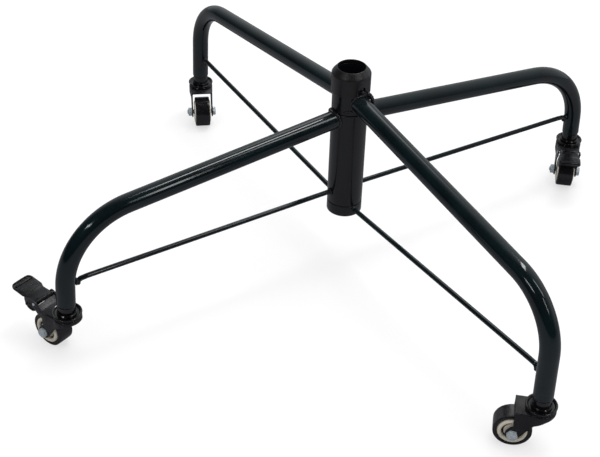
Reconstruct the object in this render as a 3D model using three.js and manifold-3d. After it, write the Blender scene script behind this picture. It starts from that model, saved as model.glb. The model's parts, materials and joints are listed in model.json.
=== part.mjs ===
// Folding rolling pole stand: two crossing leg frames that turn on one upright socket tube,
// each leg ending in a swivel caster. Frame A lies along X, frame B along Y.
// Millimetres, +Z up. The origin is the centre of the pole seat's top, on the socket's axis.
import * as THREE from "three";
import { mergeVertices } from "three/addons/utils/BufferGeometryUtils.js";
import Module from "manifold-3d";

const wasm = await Module();
wasm.setup();

// ---- driving dimensions ----
// Heights here are above the floor; addPiece lowers every piece by SEAT_Z. Pairs are [low, high].
const SEAT_Z = 77.8; // top of the pole seat
const SEAT_T = 4;
const STEM_Z = 68.4; // lower end of every leg tube, where its caster starts

const BORE_R = 16.5; // socket for a 32 mm pole
const TUBE_R = 19; // socket tube
const TUBE_Z = [71.2, 264.8];
const HUB_R = 21.5; // collar, sleeve and ring that sit round the socket tube
const FIT_GAP = 0.1; // between fixed hub parts
const RUN_GAP = 0.35; // turning clearance between the socket tube and the sleeve
const HUB_CLEAR_R = HUB_R + 0.3; // bore of the cap's skirt, and where legs and rods stop
const COLLAR_Z = [215.6, 260.4];
const SLEEVE_Z = [86.1, 214.7];
const RING_Z = [TUBE_Z[0], 85.3];
const HUB_SEG = 32;

const CAP_R = 23.2;
const CAP_Z = [239.4, 269.8];
const ARCH_Z = 248.3; // springing line of the cap's arches
const ARCH_R = 5.2;
const ARCH_STEPS = 8;

const LEG_R = 11; // 22 mm leg tube
const LEG_WALL = 1.4;
const LEG_SEG = 16;
const BEND_STEPS = 7;
const ROD_R = 3; // brace rod
const ROD_SEG = 8;
const ROD_START_R = HUB_R - 6; // distance from the axis, before the hub is cut away
const ROD_STRAIGHT_INSET = 14; // from the rod's outer reach back to the end of its straight
// hooked outer end of a brace rod: [inset from its outer reach, drop below its outer height]
const ROD_HOOK = [[5.5, 0.6], [2.6, 2.6], [1.9, 6]];

// z: leg height at the axis; slope: fall of the arm, degrees; corner: distance from the axis to
// where the straights meet; bend: centreline radius; splay: lean of the lower straight, degrees;
// rodZ: brace rod heights at the hub and at the leg
const FRAME_A = { z: 232.6, slope: 7.36, corner: 377.1, bend: 73.3, splay: 2.48, rodZ: [80.8, 98.8] };
const FRAME_B = { z: 206.5, slope: 5.77, corner: 364.9, bend: 91.0, splay: 3.39, rodZ: [101.8, 96.8] };

// heading: direction of the leg; yaw: direction its wheel trails; both in degrees from +X
const LEGS = {
  px: { frame: FRAME_A, heading: 0, yaw: -131, brake: false },
  nx: { frame: FRAME_A, heading: 180, yaw: -24, brake: false },
  py: { frame: FRAME_B, heading: 90, yaw: -41, brake: true },
  ny: { frame: FRAME_B, heading: -90, yaw: -159, brake: true },
};

// Caster, in its own frame: the leg's lower end is the origin and the wheel trails towards +X.
const WHEEL_R = 21;
const WHEEL_HALF = 20.6 / 2;
const AXLE_X = 26;
const AXLE_Z = -47.4;
const AXLE_R = 3.1;
const AXLE_HOLE_R = AXLE_R + 0.15;
const HEX_R = 6.3; // bolt head and nut, over the corners
const CUP_R = 17.3; // dished upper race
const CUP_Z = [-16.6, -11.6];
const NECK_HOLE_R = 4.4; // through the cup and the fork
const SHEET = 1.7; // fork sheet
const FORK_HALF = 30 / 2; // half the width over the side plates
const FORK_INNER = FORK_HALF - SHEET;
const CROWN_Z = -17; // top of the fork's crown
const CROWN_X = 26.5; // rear edge of the crown
const NOSE_R = 16.8;
const NOSE_Z = -21; // lower edge of the nose wall
const NOSE_STEPS = 12;
const SIDE_KNEE = [5, NOSE_Z - 9.6]; // where the side plate's edge turns down to the axle
const FORK_END_R = 7.8; // round lower end of the side plates

const PIN_X = 38; // brake pedal pin
const PIN_Z = -12.6;
const PIN_R = 1.6;
const PIN_HOLE_R = 1.8;
const PIN_SEG = 10;
const BARREL_R = 3.2;
const BARREL_HALF = 11.9;
const CHEEK_OUTER = 11.6; // outer face of a pedal cheek, from the centre plane
const CHEEK_T = 2;
const REACH = 30; // cutting tools run this far to either side, past the caster

// ---- materials ----
const standard = (settings) => new THREE.MeshStandardMaterial(settings);
const paint = () => standard({ color: 0x0e1616, roughness: 0.3, metalness: 0.2 });
const hubPaint = () => standard({ color: 0x16181b, roughness: 0.38, metalness: 0.2 });
const plastic = () => standard({ color: 0x1a1a1c, roughness: 0.55, metalness: 0 });
const gloss = () => standard({ color: 0x101012, roughness: 0.2, metalness: 0.2 });
const rubber = () => standard({ color: 0x1c191f, roughness: 0.7, metalness: 0 });
const cream = () => standard({ color: 0xb9b2a0, roughness: 0.5, metalness: 0 });
const zinc = () => standard({ color: 0x96a5aa, roughness: 0.35, metalness: 1 });
const steel = () => standard({ color: 0x8a8f93, roughness: 0.4, metalness: 1 });

// ---- solids ----
const rad = THREE.MathUtils.degToRad;
const root = new THREE.Group();

// Welds a geometry into a closed solid, turning it right side out if needed.
function toSolid(geometry) {
  const loose = geometry.index ? geometry.toNonIndexed() : geometry;
  const bare = new THREE.BufferGeometry().setAttribute("position", loose.getAttribute("position"));
  const welded = mergeVertices(bare, 1e-4);
  const vertProperties = new Float32Array(welded.attributes.position.array);
  const triVerts = new Uint32Array(welded.index.array);
  const build = () =>
    new wasm.Manifold(new wasm.Mesh({ numProp: 3, vertProperties, triVerts }));
  const solid = build();
  if (solid.volume() >= 0) return solid;
  for (let i = 0; i < triVerts.length; i += 3) {
    [triVerts[i + 1], triVerts[i + 2]] = [triVerts[i + 2], triVerts[i + 1]];
  }
  return build();
}

function toGeometry(solid) {
  const mesh = solid.getMesh();
  const geometry = new THREE.BufferGeometry();
  const positions = new Float32Array(mesh.vertProperties);
  geometry.setAttribute("position", new THREE.BufferAttribute(positions, 3));
  geometry.setIndex(new THREE.BufferAttribute(new Uint32Array(mesh.triVerts), 1));
  return geometry;
}

const cut = (solid, ...tools) =>
  tools.reduce((rest, tool) => rest.subtract(toSolid(tool)), solid);
const join = (solid, ...extras) =>
  extras.reduce((sum, extra) => sum.add(toSolid(extra)), solid);

// shape is a solid or a geometry; place is an optional matrix
function addPiece(name, shape, material, place) {
  const geometry = toGeometry(shape.isBufferGeometry ? toSolid(shape) : shape);
  if (place) geometry.applyMatrix4(place);
  geometry.translate(0, 0, -SEAT_Z);
  geometry.computeVertexNormals();
  const mesh = new THREE.Mesh(geometry, material);
  mesh.name = name;
  root.add(mesh);
}

// ---- outlines and basic shapes ----
const vectors = (points) => points.map(([x, y]) => new THREE.Vector2(x, y));
const shift = (points, dx, dz) => points.map(([x, z]) => [x + dx, z + dz]);
// half an outline, first with its second coordinate negated, then as given in reverse
const mirrored = (half) => [...half.map(([x, y]) => [x, -y]), ...[...half].reverse()];

// profile is [radius, z], turned about Z
const spin = (profile, segments) =>
  new THREE.LatheGeometry(vectors(profile), segments).rotateX(Math.PI / 2);

const tube = (inner, outer, [z0, z1], segments) =>
  spin([[inner, z0], [outer, z0], [outer, z1], [inner, z1], [inner, z0]], segments);

const cylinder = (r, z0, z1, segments) => spin([[0, z0], [r, z0], [r, z1], [0, z1]], segments);

// turns a shape's Z axis onto Y
const alongY = (geometry) => geometry.rotateX(-Math.PI / 2);

// cylinder along Y, centred on the plane y = 0
const crossCylinder = (r, half, segments) => alongY(cylinder(r, -half, half, segments));

const extrudeZ = (outline, z0, z1) =>
  new THREE.ExtrudeGeometry(new THREE.Shape(vectors(outline)), {
    depth: z1 - z0,
    bevelEnabled: false,
  }).translate(0, 0, z0);

// outline is [x, z]
const extrudeY = (outline, y0, y1) =>
  extrudeZ(outline, 0, y1 - y0).rotateX(Math.PI / 2).translate(0, y1, 0);

// the same plate on both sides of the plane y = 0
const platePair = (outline, inner, outer) => [
  extrudeY(outline, -outer, -inner),
  extrudeY(outline, inner, outer),
];

function circle(r, segments) {
  const points = [];
  for (let i = 0; i < segments; i++) {
    const angle = (2 * Math.PI * (i + 0.5)) / segments;
    points.push(new THREE.Vector2(r * Math.cos(angle), r * Math.sin(angle)));
  }
  return points;
}

function roundSection(outer, segments, inner = 0) {
  const shape = new THREE.Shape(circle(outer, segments));
  if (inner) shape.holes.push(new THREE.Path(circle(inner, segments)));
  return shape;
}

// A curve through given stations: straights take one step each and bends take several.
class Stations extends THREE.Curve {
  constructor(points) {
    super();
    this.points = points;
  }
  getUtoTmapping(u) {
    return u;
  }
  getPoint(t, out = new THREE.Vector3()) {
    const along = t * (this.points.length - 1);
    const i = Math.min(Math.floor(along), this.points.length - 2);
    return out.lerpVectors(this.points[i], this.points[i + 1], along - i);
  }
  // the mean direction of the steps that meet at a station
  getTangent(t, out = new THREE.Vector3()) {
    const last = this.points.length - 1;
    const i = Math.round(t * last);
    const here = this.points[i];
    const sum = new THREE.Vector3();
    if (i > 0) sum.add(here.clone().sub(this.points[i - 1]).normalize());
    if (i < last) sum.add(this.points[i + 1].clone().sub(here).normalize());
    return out.copy(sum.normalize());
  }
}

// line is [distance from the axis, z], laid out in the heading's direction
function sweep(section, line, heading) {
  const cos = Math.cos(rad(heading));
  const sin = Math.sin(rad(heading));
  const points = line.map(([r, z]) => new THREE.Vector3(r * cos, r * sin, z));
  return new THREE.ExtrudeGeometry(section, {
    steps: points.length - 1,
    extrudePath: new Stations(points),
    bevelEnabled: false,
  });
}

// ---- hub ----
function addCap() {
  const body = [
    [16.4, 265.3], [19.3, 265.3], [19.3, 261], [HUB_CLEAR_R, 261],
    [HUB_CLEAR_R, CAP_Z[0]], [CAP_R, CAP_Z[0]], [CAP_R, 262.2], [22.5, 263.7],
    [17.6, 269.4], [16.9, CAP_Z[1]], [16.4, 269.4], [16.4, 265.3],
  ];
  const arch = [];
  for (let i = 0; i <= ARCH_STEPS; i++) {
    const angle = (Math.PI * i) / ARCH_STEPS;
    arch.push([ARCH_R * Math.cos(angle), ARCH_Z + ARCH_R * Math.sin(angle)]);
  }
  arch.push([-ARCH_R, 230], [ARCH_R, 230]); // below the skirt
  // one cut along X makes the arch at each end of frame A
  const notch = extrudeY(arch, -40, 40).rotateZ(Math.PI / 2);
  addPiece("cap", cut(toSolid(spin(body, HUB_SEG)), notch), plastic());
}

function addHub() {
  const addTube = (name, inner, outer, heights) =>
    addPiece(name, tube(inner, outer, heights, HUB_SEG), hubPaint());
  addTube("socket_tube", BORE_R + FIT_GAP, TUBE_R, TUBE_Z);
  addTube("collar", TUBE_R + FIT_GAP, HUB_R, COLLAR_Z);
  addTube("sleeve", TUBE_R + RUN_GAP, HUB_R, SLEEVE_Z);
  addTube("bottom_ring", TUBE_R + FIT_GAP, HUB_R, RING_Z);
  const seat = cylinder(BORE_R - FIT_GAP, SEAT_Z - SEAT_T, SEAT_Z, HUB_SEG);
  addPiece("pole_seat", seat, hubPaint());
  addCap();
}

// ---- legs and brace rods ----
// Leg centreline as [distance from the axis, z]: sloping arm, bend, splayed lower straight.
function legLine(frame) {
  const slope = rad(frame.slope);
  const splay = rad(frame.splay);
  const turn = Math.PI / 2 - slope - splay;
  const tangent = frame.bend * Math.tan(turn / 2); // from the corner to either end of the bend
  const cornerZ = frame.z - frame.corner * Math.tan(slope);
  const startR = frame.corner - tangent * Math.cos(slope);
  const startZ = cornerZ + tangent * Math.sin(slope);
  const centreR = startR - frame.bend * Math.sin(slope);
  const centreZ = startZ - frame.bend * Math.cos(slope);
  const line = [[0, frame.z], [startR, startZ]];
  for (let i = 1; i <= BEND_STEPS; i++) {
    const angle = slope + (turn * i) / BEND_STEPS;
    line.push([centreR + frame.bend * Math.sin(angle), centreZ + frame.bend * Math.cos(angle)]);
  }
  line.push([frame.corner + (cornerZ - STEM_Z) * Math.tan(splay), STEM_Z]);
  return line;
}

const footRadius = (frame) => legLine(frame).at(-1)[0];

// Brace rod centreline: a straight out from the hub and a hook down against the leg.
function rodLine(frame) {
  const splay = rad(frame.splay);
  const [hubZ, legZ] = frame.rodZ;
  const legFaceR =
    footRadius(frame) - (legZ - STEM_Z) * Math.tan(splay) - LEG_R / Math.cos(splay);
  const reach = legFaceR - ROD_R * 0.55;
  const straightR = reach - ROD_STRAIGHT_INSET;
  const straightZ = hubZ + ((legZ - hubZ) * (straightR - HUB_R)) / (reach - HUB_R);
  return [
    [ROD_START_R, hubZ],
    [straightR, straightZ],
    ...ROD_HOOK.map(([inset, drop]) => [reach - inset, legZ - drop]),
  ];
}

function addLeg(key, { frame, heading }) {
  const hubCut = cylinder(HUB_CLEAR_R, 0, 300, HUB_SEG);
  const line = legLine(frame);
  const leg = sweep(roundSection(LEG_R, LEG_SEG, LEG_R - LEG_WALL), line, heading);
  addPiece(`leg_${key}`, cut(toSolid(leg), hubCut), paint());

  const legCut = sweep(roundSection(LEG_R + 0.3, LEG_SEG), line, heading);
  const brace = sweep(roundSection(ROD_R, ROD_SEG), rodLine(frame), heading);
  addPiece(`rod_${key}`, cut(toSolid(brace), hubCut, legCut), paint());
}

// ---- casters ----
// Cup: the fixed upper race, a dish below the end of the leg.
function addCup(key, place) {
  const [low, high] = CUP_Z;
  const profile = [
    [NECK_HOLE_R, low], [15.9, low], [16.5, low + 0.7], [15.9, low + 1.4],
    [16.9, low + 2], [16.3, low + 2.8], [CUP_R, high - 1.8], [CUP_R, high - 0.6],
    [CUP_R - 0.8, high], [CUP_R - 2.2, high - 0.7], [13.8, low + 2.6],
    [NECK_HOLE_R, low + 2.4], [NECK_HOLE_R, low],
  ];
  addPiece(`cup_${key}`, spin(profile, 20), gloss(), place);
}

// Stem: a plug in the leg tube, a neck and the rivet the fork turns on.
function addStem(key, place) {
  const plugZ = CUP_Z[0] + 2.8;
  const profile = [
    [0, CROWN_Z - 4.6], [7, CROWN_Z - 4.6], [7, CROWN_Z - 2.3], [4, CROWN_Z - 2.3],
    [4, plugZ], [10.2, plugZ], [10.2, -1.1], [8.5, -1.1], [8.5, 9], [0, 9],
  ];
  addPiece(`stem_${key}`, spin(profile, 16), plastic(), place);
}

// Crown outline [x, y]: a round nose about the stem, running into parallel sides up to x = tail.
function crownOutline(inset, tail) {
  const half = FORK_HALF - inset;
  const r = NOSE_R - inset;
  const start = Math.asin(half / r);
  const outline = [];
  for (let i = 0; i <= NOSE_STEPS; i++) {
    const angle = start + ((2 * Math.PI - 2 * start) * i) / NOSE_STEPS;
    outline.push([r * Math.cos(angle), r * Math.sin(angle)]);
  }
  outline.push([tail, -half], [tail, half]);
  return outline;
}

// Side view of the fork [x, z].
function forkSide() {
  const dx = AXLE_X - SIDE_KNEE[0];
  const dz = AXLE_Z - SIDE_KNEE[1];
  // the edge from the knee meets the round end at a tangent
  const start = Math.atan2(dz, dx) - Math.asin(FORK_END_R / Math.hypot(dx, dz)) - Math.PI / 2;
  const step = (rad(165) - start) / 8;
  const roundEnd = [];
  for (let i = 0; i <= 6; i++) {
    const angle = start + step * i;
    roundEnd.push([AXLE_X + FORK_END_R * Math.cos(angle), AXLE_Z + FORK_END_R * Math.sin(angle)]);
  }
  return [
    [-30, CROWN_Z], [-30, NOSE_Z + 0.6], [-NOSE_R + 1, NOSE_Z], [-6, NOSE_Z - 3], SIDE_KNEE,
    ...roundEnd,
    [AXLE_X + 2.5, AXLE_Z + FORK_END_R + 1.5], [CROWN_X, -37], [CROWN_X, CROWN_Z],
  ];
}

const pinHole = () => crossCylinder(PIN_HOLE_R, REACH, PIN_SEG).translate(PIN_X, 0, PIN_Z);

// A tongue that rises from the crown to the pedal's barrel, and two ears that hold its pin.
function addPedalMount(fork) {
  const tongue = [
    [CROWN_X - 2, CROWN_Z], [CROWN_X, CROWN_Z], [PIN_X - 3.5, PIN_Z - 1],
    [PIN_X - 3.7, PIN_Z - 2.8], [CROWN_X, CROWN_Z - SHEET], [CROWN_X - 2, CROWN_Z - SHEET],
  ];
  const ear = [
    [CROWN_X - 7, -27], [CROWN_X + 4, -27], [PIN_X + 4.2, PIN_Z - 2], [PIN_X + 3.6, PIN_Z + 2.2],
    [PIN_X + 1, PIN_Z + 3.5], [PIN_X - 2.4, PIN_Z + 2.8], [CROWN_X, CROWN_Z - 0.2],
    [CROWN_X - 7, CROWN_Z - 0.3],
  ];
  const tongueHalf = FORK_INNER + 0.3; // sinks into the side plates
  const mounted = join(
    fork,
    extrudeY(tongue, -tongueHalf, tongueHalf),
    ...platePair(ear, FORK_INNER, FORK_HALF),
  );
  return cut(mounted, pinHole());
}

// Fork: a pressed sheet with a round nose.
function addFork(key, brake, place) {
  const block = toSolid(extrudeZ(crownOutline(0, 60), -60, CROWN_Z));
  const outside = block.intersect(toSolid(extrudeY(forkSide(), -REACH, REACH)));
  const sheet = cut(
    outside,
    extrudeZ(crownOutline(SHEET, 80), -70, CROWN_Z - SHEET),
    cylinder(NECK_HOLE_R, -30, 5, 16),
  );
  const fork = brake ? addPedalMount(sheet) : sheet;
  const axleHole = crossCylinder(AXLE_HOLE_R, REACH, 12).translate(AXLE_X, 0, AXLE_Z);
  addPiece(`fork_${key}`, cut(fork, axleHole), gloss(), place);
}

// Wheel: a rubber tread on a plastic core that turns on a bush.
// Half profiles are [radius, inset from the wheel's side face].
const TREAD_HALF = [
  [16.2, 1], [17.5, 0.2], [19.5, 0.3], [20.5, 1.3], [20.9, 2.8], [WHEEL_R, 5],
];
const CORE_HALF = [
  [4.4, 0.2], [9, 0.2], [9.6, 3], [11.2, 3], [11.8, -0.6],
  [13.4, -1.4], [15, -1.1], [15.8, -0.1], [16, 1.2],
];
const BUSH_HALF = [[3.3, -1.8], [4.1, -1.8]];

function wheelPart(half, segments) {
  const profile = mirrored(half.map(([r, inset]) => [r, WHEEL_HALF - inset]));
  return alongY(spin([...profile, profile[0]], segments));
}

function addWheel(key, place) {
  addPiece(`tread_${key}`, wheelPart(TREAD_HALF, 28), rubber(), place);
  addPiece(`core_${key}`, wheelPart(CORE_HALF, 20), cream(), place);
  addPiece(`bush_${key}`, wheelPart(BUSH_HALF, 12), steel(), place);
}

// Axle bolt: hex head outside the +Y side plate, nut outside the -Y one.
function addAxle(key, place) {
  const head = toSolid(cylinder(HEX_R, FORK_HALF + 0.2, FORK_HALF + 4, 6));
  const bolt = join(head, cylinder(AXLE_R, -FORK_HALF - 6.6, FORK_HALF + 1, 12));
  addPiece(`bolt_${key}`, alongY(toGeometry(bolt)), zinc(), place);
  const hex = toSolid(cylinder(HEX_R, -FORK_HALF - 5.2, -FORK_HALF - 0.2, 6));
  const nut = cut(hex, cylinder(AXLE_HOLE_R, -REACH, 0, 12));
  addPiece(`nut_${key}`, alongY(toGeometry(nut)), zinc(), place);
}

// Brake pedal outlines, measured from the pin.
// foot plate, half its plan: [x, half width]
const PLATE_HALF = [
  [-1, CHEEK_OUTER], [12, CHEEK_OUTER], [18, 14.5], [33.5, 14.5],
  [36.8, 13.4], [38.4, 10], [39, 5],
];
// foot plate, side view: [x, z]
const PLATE_SIDE = [
  [-1.5, 3.2], [13, 3.5], [20, 4.1], [40, 7], [40, 5], [20, 2.1], [13, 1.5], [-1.5, 1.2],
];
// cheek, side view: [x, z]
const CHEEK = [
  [-1.5, 2.4], [12, 2.6], [18.5, 3.2], [20, -4], [18.5, -12],
  [14, -15.5], [8, -16.5], [3, -13.5], [-2, -3],
];

// Pedal: barrel on the pin, foot plate that widens to a blunt end, and cheeks beside the wheel.
function addPedal(key, place) {
  const barrel = crossCylinder(BARREL_R, BARREL_HALF, 12).translate(PIN_X, 0, PIN_Z);
  const plan = toSolid(extrudeZ(shift(mirrored(PLATE_HALF), PIN_X, 0), -40, 30));
  const side = toSolid(extrudeY(shift(PLATE_SIDE, PIN_X, PIN_Z), -REACH, REACH));
  const cheeks = platePair(shift(CHEEK, PIN_X, PIN_Z), CHEEK_OUTER - CHEEK_T, CHEEK_OUTER);
  const pedal = join(toSolid(barrel).add(plan.intersect(side)), ...cheeks);
  addPiece(`pedal_${key}`, cut(pedal, pinHole()), gloss(), place);

  const pinPlace = moved(place, PIN_X, PIN_Z);
  addPiece(`pedal_pin_${key}`, crossCylinder(PIN_R, FORK_HALF + 1.1, PIN_SEG), zinc(), pinPlace);
}

const moved = (place, x, z) =>
  place.clone().multiply(new THREE.Matrix4().makeTranslation(x, 0, z));

function addCaster(key, { frame, heading, yaw, brake }) {
  const r = footRadius(frame);
  const x = r * Math.cos(rad(heading));
  const y = r * Math.sin(rad(heading));
  const legEnd = new THREE.Matrix4().makeTranslation(x, y, STEM_Z);
  const swivel = legEnd.clone().multiply(new THREE.Matrix4().makeRotationZ(rad(yaw)));
  const axle = moved(swivel, AXLE_X, AXLE_Z);
  addCup(key, legEnd);
  addStem(key, legEnd);
  addFork(key, brake, swivel);
  addWheel(key, axle);
  addAxle(key, axle);
  if (brake) addPedal(key, swivel);
}

addHub();
for (const [key, leg] of Object.entries(LEGS)) addLeg(key, leg);
for (const [key, leg] of Object.entries(LEGS)) addCaster(key, leg);

export default root;
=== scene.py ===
"""A folding four-legged pole stand on casters, two of them with brake pedals.

The origin is the pole seat on the hub's axis, +Z is up, and the floor lies SEAT mm below.
Legs run out along +X and -X (frame_a) and along +Y and -Y (frame_b), which turns on the hub.
All lengths are in mm unless a name or comment says otherwise; meshes are scaled to metres.
"""

import json
import math
from types import SimpleNamespace

import bmesh
import bpy
from mathutils import Matrix, Vector, noise


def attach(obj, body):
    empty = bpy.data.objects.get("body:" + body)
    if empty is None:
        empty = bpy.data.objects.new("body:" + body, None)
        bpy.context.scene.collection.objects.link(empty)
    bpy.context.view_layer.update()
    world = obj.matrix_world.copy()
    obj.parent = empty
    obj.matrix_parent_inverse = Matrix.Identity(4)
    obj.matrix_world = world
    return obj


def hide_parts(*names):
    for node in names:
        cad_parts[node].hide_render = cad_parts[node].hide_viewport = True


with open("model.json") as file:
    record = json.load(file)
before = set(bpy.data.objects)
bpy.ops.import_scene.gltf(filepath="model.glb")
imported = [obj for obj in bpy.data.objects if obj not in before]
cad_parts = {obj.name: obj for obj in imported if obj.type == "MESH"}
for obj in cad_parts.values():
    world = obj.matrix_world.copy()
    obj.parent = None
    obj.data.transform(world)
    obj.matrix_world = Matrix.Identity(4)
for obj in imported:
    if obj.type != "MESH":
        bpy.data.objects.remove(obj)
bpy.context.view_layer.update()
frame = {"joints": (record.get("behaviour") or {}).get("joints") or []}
JOINTS = {joint["name"]: joint for joint in frame["joints"]}
MM = 0.001

# ---- driving dimensions ----------------------------------------------------------------------
SEAT = 77.8  # height of the pole seat above the floor
STEM_HEIGHT = 68.4  # height of the leg ends above the floor
STEM = STEM_HEIGHT - SEAT
BORE_R, TUBE_R, HUB_R = 16.5, 19.0, 21.5
LEG_R, LEG_WALL, ROD_R = 11.0, 1.4, 3.0

# Pairs of opposite legs. Heights are above the floor: height is where the leg's axis meets the
# hub's, rod_heights are the brace rod's at the hub and at the leg. corner is the radius of the
# unrounded corner, bend its rounding. slope and splay are in degrees.
LEGS_X = SimpleNamespace(
    body="frame_a", height=232.6, slope=7.36, corner=377.1, bend=73.3, splay=2.48,
    rod_heights=(80.8, 98.8), brake=False,
)
LEGS_Y = SimpleNamespace(
    body="frame_b", height=206.5, slope=5.77, corner=364.9, bend=91.0, splay=3.39,
    rod_heights=(101.8, 96.8), brake=True,
)
PAIR = {"px": LEGS_X, "nx": LEGS_X, "py": LEGS_Y, "ny": LEGS_Y}
HEADING = {"px": 0, "nx": 180, "py": 90, "ny": -90}  # degrees about Z

# Casters, in a local frame: origin at the leg end on the swivel axis, +X toward the wheel,
# +Y along the axle.
WHEEL_R, WHEEL_W = 21.0, 20.6
TRAIL = 26.0
DROP = STEM_HEIGHT - WHEEL_R
HALF_WHEEL = WHEEL_W / 2
RACE_R, RACE_BOTTOM, RACE_TOP = 17.3, -16.6, -11.6
FORK_W, SHEET = 30.0, 1.7
HALF_FORK = FORK_W / 2
CROWN_Z, CROWN_X = -17.0, 26.5  # top of the fork and its edge on the wheel side
NOSE_R, NOSE_Z = 16.8, -21.0  # round end of the crown and its lower edge
END_R = 7.8  # rounding of the fork about the axle
AXLE_R, HEX_R = 3.1, 6.3
AXLE_HOLE_R = AXLE_R + 0.15
PIN_X, PIN_Z = 38.0, -12.6  # pedal hinge
PIN_HOLE_R = 1.8


# ---- shader trees ----------------------------------------------------------------------------
def linear(rgb):
    """Linear RGBA from 8-bit sRGB."""
    out = []
    for c in rgb:
        c /= 255.0
        out.append(c / 12.92 if c <= 0.04045 else ((c + 0.055) / 1.055) ** 2.4)
    return (*out, 1.0)


class Shader:
    """The emptied node tree of a material or world, with short calls that add nodes."""

    def __init__(self, owner):
        owner.use_nodes = True
        self.tree = owner.node_tree
        self.tree.nodes.clear()

    def add(self, kind, inputs=None, **props):
        """A node; each input is either a value or an output socket to link."""
        node = self.tree.nodes.new(kind)
        for name, value in props.items():
            setattr(node, name, value)
        for slot, value in (inputs or {}).items():
            if isinstance(value, bpy.types.NodeSocket):
                self.tree.links.new(value, node.inputs[slot])
            else:
                node.inputs[slot].default_value = value
        return node

    def noise(self, vector, scale, detail, roughness):
        inputs = {"Vector": vector, "Scale": scale, "Detail": detail, "Roughness": roughness}
        return self.add("ShaderNodeTexNoise", inputs).outputs["Fac"]

    def remap(self, value, from_min, from_max, to_min=0.0, to_max=1.0):
        inputs = {0: value, 1: from_min, 2: from_max, 3: to_min, 4: to_max}
        return self.add("ShaderNodeMapRange", inputs).outputs[0]

    def mix(self, factor, a, b):
        return self.add("ShaderNodeMix", {0: factor, 6: a, 7: b}, data_type="RGBA").outputs[2]

    def math(self, operation, a, b):
        return self.add("ShaderNodeMath", {0: a, 1: b}, operation=operation).outputs[0]

    def bump(self, height, distance, normal=None):
        inputs = {"Strength": 1.0, "Distance": distance, "Height": height}
        if normal is not None:
            inputs["Normal"] = normal
        return self.add("ShaderNodeBump", inputs).outputs[0]


# ---- materials -------------------------------------------------------------------------------
DUST_COLOUR = (120, 122, 122)


def finish(
    name, base, tint, rough, *, patch, grain, grain_depth, metallic=0.0, specular=0.5,
    peel=0.0, peel_scale=None, dust=0.0, edge=0.0, edge_colour=None, streaks=0.0,
):
    """A procedural finish.

    base, tint: the two tones of the soft patches; patch is their noise scale
    rough: mean roughness
    grain, grain_depth: scale and height (m) of the fine bump
    peel, peel_scale: height (m) and scale of the orange peel
    dust, edge: strength of dust on upward faces and of wear on convex edges
    streaks: height (m) of fine drawn lines
    """
    material = bpy.data.materials.new(name)
    sh = Shader(material)
    position = sh.add("ShaderNodeTexCoord").outputs["Object"]

    patches = sh.noise(position, patch, 4.0, 0.55)
    colour = sh.mix(sh.remap(patches, 0.35, 0.65), linear(base), linear(tint))
    blotches = sh.noise(position, patch * 2.7, 5.0, 0.6)
    roughness = sh.remap(blotches, 0.3, 0.7, rough * 0.8, rough * 1.25)
    if edge > 0 or dust > 0:
        geometry = sh.add("ShaderNodeNewGeometry")
    if edge > 0:
        convex = sh.remap(geometry.outputs["Pointiness"], 0.515, 0.58, 0.0, edge)
        chips = sh.remap(sh.noise(position, 420.0, 4.0, 0.7), 0.42, 0.62)
        wear = sh.math("MULTIPLY", convex, chips)
        colour = sh.mix(wear, colour, linear(edge_colour))
        roughness = sh.math("ADD", roughness, sh.math("MULTIPLY", wear, 0.15))
    if dust > 0:
        normal_xyz = sh.add("ShaderNodeSeparateXYZ", {0: geometry.outputs["Normal"]})
        upward = sh.remap(normal_xyz.outputs[2], 0.2, 1.0, 0.0, dust)
        specks = sh.remap(sh.noise(position, 900.0, 5.0, 0.75), 0.5, 0.72)
        dusty = sh.math("MULTIPLY", upward, specks)
        colour = sh.mix(dusty, colour, linear(DUST_COLOUR))
        roughness = sh.math("ADD", roughness, sh.math("MULTIPLY", dusty, 0.3))

    normal = sh.bump(sh.noise(position, grain, 4.0, 0.6), grain_depth)
    if streaks > 0:
        # noise stretched along Z
        stretched = sh.add("ShaderNodeMapping", {"Vector": position, "Scale": (1.0, 1.0, 0.06)})
        lines = sh.noise(stretched.outputs[0], 2200.0, 2.0, 0.5)
        normal = sh.bump(lines, streaks, normal)
    inputs = {}
    if peel > 0:
        normal = sh.bump(sh.noise(position, peel_scale, 1.5, 0.4), peel, normal)
        inputs["Coat Normal"] = normal
    inputs.update({
        "Base Color": colour,
        "Roughness": roughness,
        "Metallic": metallic,
        "Specular IOR Level": specular,
        "Coat Roughness": 0.05,
        "Normal": normal,
    })
    bsdf = sh.add("ShaderNodeBsdfPrincipled", inputs)
    sh.add("ShaderNodeOutputMaterial", {0: bsdf.outputs[0]})
    return material


PAINT = finish(
    "leg_paint", base=(6, 14, 17), tint=(8, 22, 25), rough=0.11, patch=22.0,
    grain=1300.0, grain_depth=0.000004, peel=0.000012, peel_scale=170.0,
    dust=0.06, edge=0.12, edge_colour=(70, 78, 80),
)
HUB_PAINT = finish(
    "hub_paint", base=(11, 12, 15), tint=(15, 16, 20), rough=0.18, patch=30.0,
    grain=1300.0, grain_depth=0.000006, peel=0.000018, peel_scale=260.0,
    dust=0.06, edge=0.2, edge_colour=(80, 82, 86),
)
WELD = finish(
    "weld_paint", base=(8, 10, 12), tint=(18, 17, 22), rough=0.16, specular=0.6, patch=160.0,
    grain=900.0, grain_depth=0.00002, peel=0.00006, peel_scale=500.0,
    edge=0.3, edge_colour=(92, 88, 100),
)
CAP_PLASTIC = finish(
    "cap_plastic", base=(13, 12, 14), tint=(19, 18, 20), rough=0.36, patch=45.0,
    grain=2600.0, grain_depth=0.00002, peel=0.00001, peel_scale=150.0,
    dust=0.10, edge=0.3, edge_colour=(84, 82, 82),
)
GLOSS = finish(
    "caster_black", base=(7, 7, 9), tint=(12, 11, 14), rough=0.11, specular=0.6, patch=90.0,
    grain=1800.0, grain_depth=0.000006, peel=0.00002, peel_scale=420.0,
    dust=0.05, edge=0.35, edge_colour=(86, 84, 90),
)
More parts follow.
